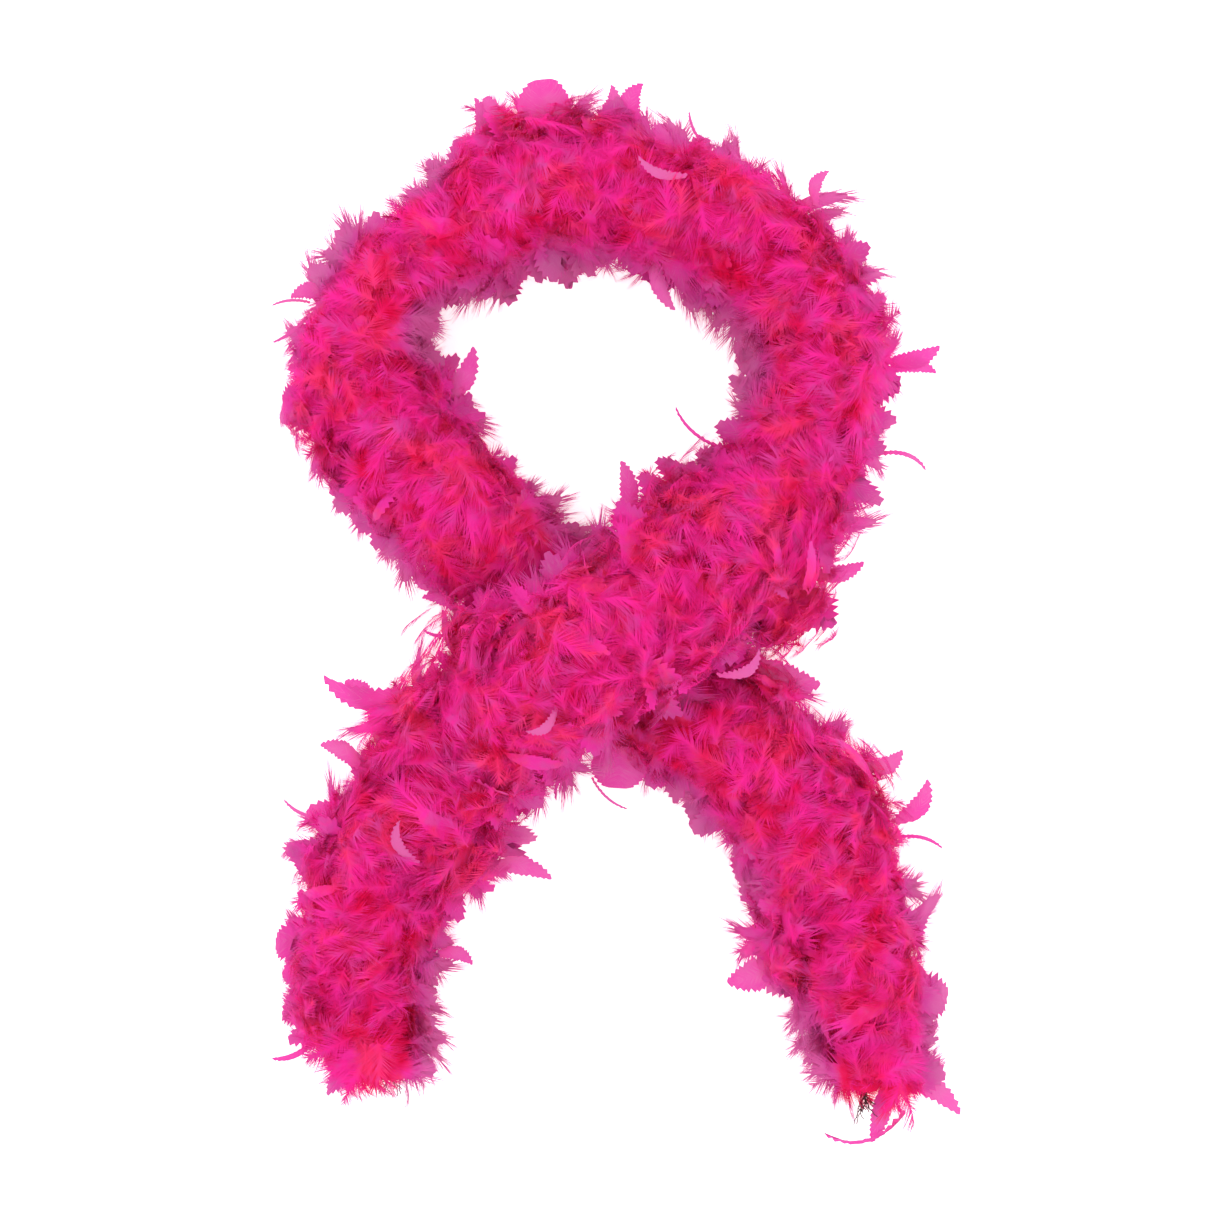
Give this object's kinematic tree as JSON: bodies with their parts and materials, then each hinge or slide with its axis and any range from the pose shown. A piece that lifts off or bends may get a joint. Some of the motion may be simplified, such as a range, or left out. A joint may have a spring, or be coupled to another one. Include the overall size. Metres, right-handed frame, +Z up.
{
  "type": "feather boa",
  "caption": "Hot-pink feather boa laid in a neck loop with crossed tails, on a corded core that bends along its length.",
  "frame": {"origin": "on the surface the boa lies on, in the middle of its outline", "axes": "+X to the right, +Y towards the top of the neck loop, +Z up from the surface"},
  "size_m": [0.4663, 0.7383, 0.1503],
  "materials": {
    "flat_feathers": "satin",
    "downy_plumes": "matte",
    "core_cord": "matte",
    "binding_thread": "matte",
    "frayed_thread": "matte"
  },
  "bodies": {
    "neck_loop": {"crossing_over_cord": "core_cord", "crossing_over_binding": "binding_thread", "crossing_over_flats": "flat_feathers", "crossing_over_plumes": "downy_plumes", "loop_right_cord": "core_cord", "loop_right_binding": "binding_thread", "loop_right_flats": "flat_feathers", "loop_right_plumes": "downy_plumes", "loop_left_cord": "core_cord", "loop_left_binding": "binding_thread", "loop_left_flats": "flat_feathers", "loop_left_plumes": "downy_plumes", "crossing_under_cord": "core_cord", "crossing_under_binding": "binding_thread", "crossing_under_flats": "flat_feathers", "crossing_under_plumes": "downy_plumes"},
    "neck_back": {"neck_right_cord": "core_cord", "neck_right_binding": "binding_thread", "neck_right_flats": "flat_feathers", "neck_right_plumes": "downy_plumes", "neck_top_right_cord": "core_cord", "neck_top_right_binding": "binding_thread", "neck_top_right_flats": "flat_feathers", "neck_top_right_plumes": "downy_plumes", "neck_top_left_cord": "core_cord", "neck_top_left_binding": "binding_thread", "neck_top_left_flats": "flat_feathers", "neck_top_left_plumes": "downy_plumes", "neck_left_cord": "core_cord", "neck_left_binding": "binding_thread", "neck_left_flats": "flat_feathers", "neck_left_plumes": "downy_plumes"},
    "left_tail_upper": {"left_tail_upper_cord": "core_cord", "left_tail_upper_binding": "binding_thread", "left_tail_upper_flats": "flat_feathers", "left_tail_upper_plumes": "downy_plumes"},
    "left_tail_middle": {"left_tail_middle_cord": "core_cord", "left_tail_middle_binding": "binding_thread", "left_tail_middle_flats": "flat_feathers", "left_tail_middle_plumes": "downy_plumes"},
    "left_tail_lower": {"left_tail_lower_cord": "core_cord", "left_tail_lower_binding": "binding_thread", "left_tail_lower_flats": "flat_feathers", "left_tail_lower_plumes": "downy_plumes", "left_end_knot": "core_cord", "left_frayed_threads": "frayed_thread"},
    "right_tail_upper": {"right_tail_upper_cord": "core_cord", "right_tail_upper_binding": "binding_thread", "right_tail_upper_flats": "flat_feathers", "right_tail_upper_plumes": "downy_plumes"},
    "right_tail_middle": {"right_tail_middle_cord": "core_cord", "right_tail_middle_binding": "binding_thread", "right_tail_middle_flats": "flat_feathers", "right_tail_middle_plumes": "downy_plumes"},
    "right_tail_lower": {"right_tail_lower_cord": "core_cord", "right_tail_lower_binding": "binding_thread", "right_tail_lower_flats": "flat_feathers", "right_tail_lower_plumes": "downy_plumes", "right_end_knot": "core_cord", "right_frayed_threads": "frayed_thread"}
  },
  "joints": [
    {"name": "neck_lift", "type": "hinge", "parent": "neck_loop", "child": "neck_back", "pos_m": [-0.018, 0.208, 0.046], "axis": [1, 0, 0], "range_deg": [0, 45]},
    {"name": "left_tail_swing", "type": "hinge", "parent": "neck_loop", "child": "left_tail_upper", "pos_m": [-0.113, -0.098, 0.046], "axis": [0, 0, -1], "range_deg": [-8, 25]},
    {"name": "left_tail_lift", "type": "hinge", "parent": "left_tail_upper", "child": "left_tail_middle", "pos_m": [-0.158, -0.165, 0.046], "axis": [-0.8866, 0.4626, 0], "range_deg": [0, 40]},
    {"name": "left_tip_swing", "type": "hinge", "parent": "left_tail_middle", "child": "left_tail_lower", "pos_m": [-0.182, -0.238, 0.046], "axis": [0, 0, -1], "range_deg": [-12, 20]},
    {"name": "right_tail_swing", "type": "hinge", "parent": "neck_loop", "child": "right_tail_upper", "pos_m": [0.089, -0.097, 0.046], "axis": [0, 0, 1], "range_deg": [-8, 25]},
    {"name": "right_tail_lift", "type": "hinge", "parent": "right_tail_upper", "child": "right_tail_middle", "pos_m": [0.144, -0.155, 0.046], "axis": [-0.8517, -0.5241, 0], "range_deg": [0, 40]},
    {"name": "right_tip_swing", "type": "hinge", "parent": "right_tail_middle", "child": "right_tail_lower", "pos_m": [0.17, -0.229, 0.046], "axis": [0, 0, 1], "range_deg": [-12, 20]}
  ]
}
